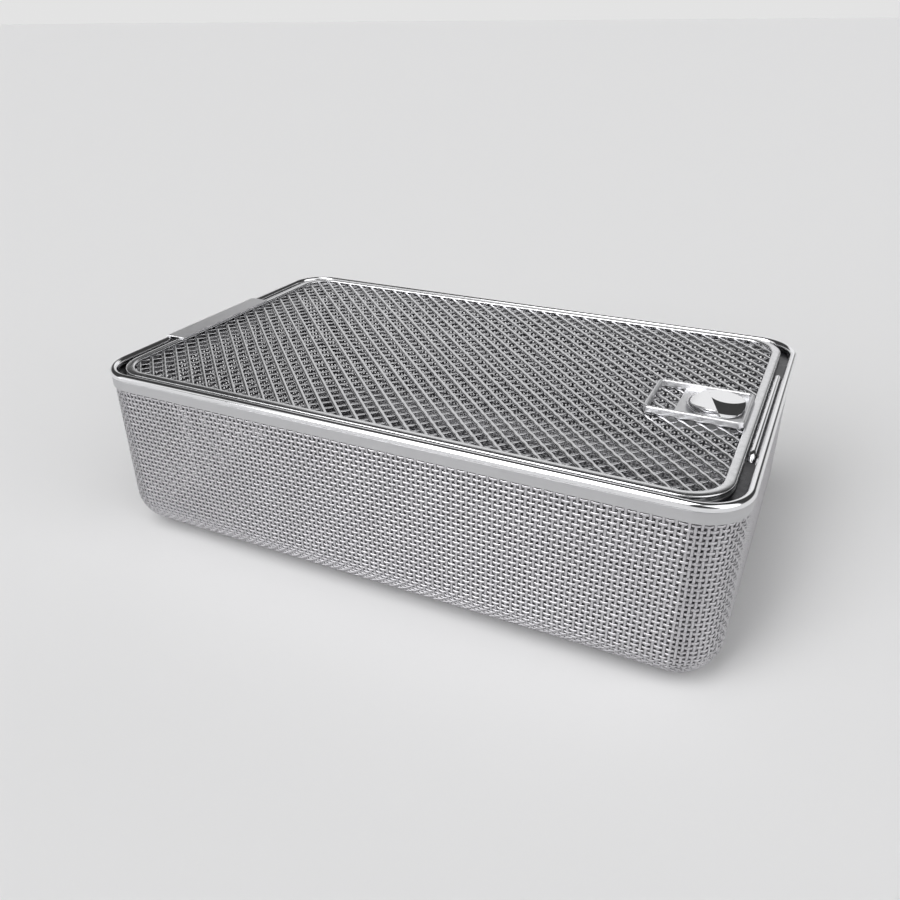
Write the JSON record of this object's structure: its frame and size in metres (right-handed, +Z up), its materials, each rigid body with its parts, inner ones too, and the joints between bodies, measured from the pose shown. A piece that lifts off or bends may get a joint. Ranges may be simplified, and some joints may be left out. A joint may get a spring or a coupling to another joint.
{
  "type": "sterilization basket",
  "caption": "Rectangular mesh instrument basket with a rounded rim, a hinged diagonal mesh lid, a sprung slide latch and a lifting wire handle.",
  "frame": {"origin": "centre of the underside of the floor, on the surface that the basket stands on", "axes": "+X along the basket to the latch end, +Y across it to the back, +Z up"},
  "size_m": [0.2407, 0.145, 0.0717],
  "materials": {
    "fine_mesh": "fine woven wire",
    "polished_rim": "polished",
    "satin_strip": "satin",
    "lid_strip": "satin",
    "lid_wire": "drawn wire",
    "latch_metal": "satin",
    "spring_wire": "drawn wire",
    "handle_wire": "polished"
  },
  "bodies": {
    "tub": {"floor_mesh": "fine_mesh", "front_wall_mesh": "fine_mesh", "back_wall_mesh": "fine_mesh", "latch_end_wall_mesh": "fine_mesh", "hinge_end_wall_mesh": "fine_mesh", "corner_mesh": "fine_mesh", "bottom_bend_mesh": "fine_mesh", "bottom_corner_mesh": "fine_mesh", "rim_bead": "polished_rim", "outer_rim_band": "satin_strip", "inner_rim_band": "satin_strip", "latch_ledge": "satin_strip", "latch_ledge_skirt": "satin_strip", "hinge_ledge": "satin_strip", "hinge_ledge_skirt": "satin_strip", "handle_guide_blocks": "satin_strip"},
    "lid": {"lid_frame_upper": "lid_strip", "lid_frame_lower": "lid_strip", "lid_mesh_upper": "lid_wire", "lid_mesh_lower": "lid_wire", "hinge_strap": "lid_strip", "latch_housing": "latch_metal", "latch_plate": "latch_metal", "bolt_guides": "latch_metal", "latch_spring": "spring_wire"},
    "latch": {"slide_bolt": "latch_metal", "slide_post": "latch_metal", "thumb_tab": "latch_metal"},
    "lifting_handle": {"handle": "handle_wire"}
  },
  "joints": [
    {"name": "lid_hinge", "type": "hinge", "parent": "tub", "child": "lid", "pos_m": [-0.1185, 0, 0.0675], "axis": [0, -1, 0], "range_deg": [0, 180]},
    {"name": "latch_slide", "type": "slide", "parent": "lid", "child": "latch", "axis": [-1, 0, 0], "range_m": [0, 0.006], "stiffness_N_per_m": 300, "springref_m": -0.002, "deforming": ["latch_spring"]},
    {"name": "handle_lift", "type": "slide", "parent": "tub", "child": "lifting_handle", "axis": [0, 0, 1], "range_m": [0, 0.028]}
  ]
}
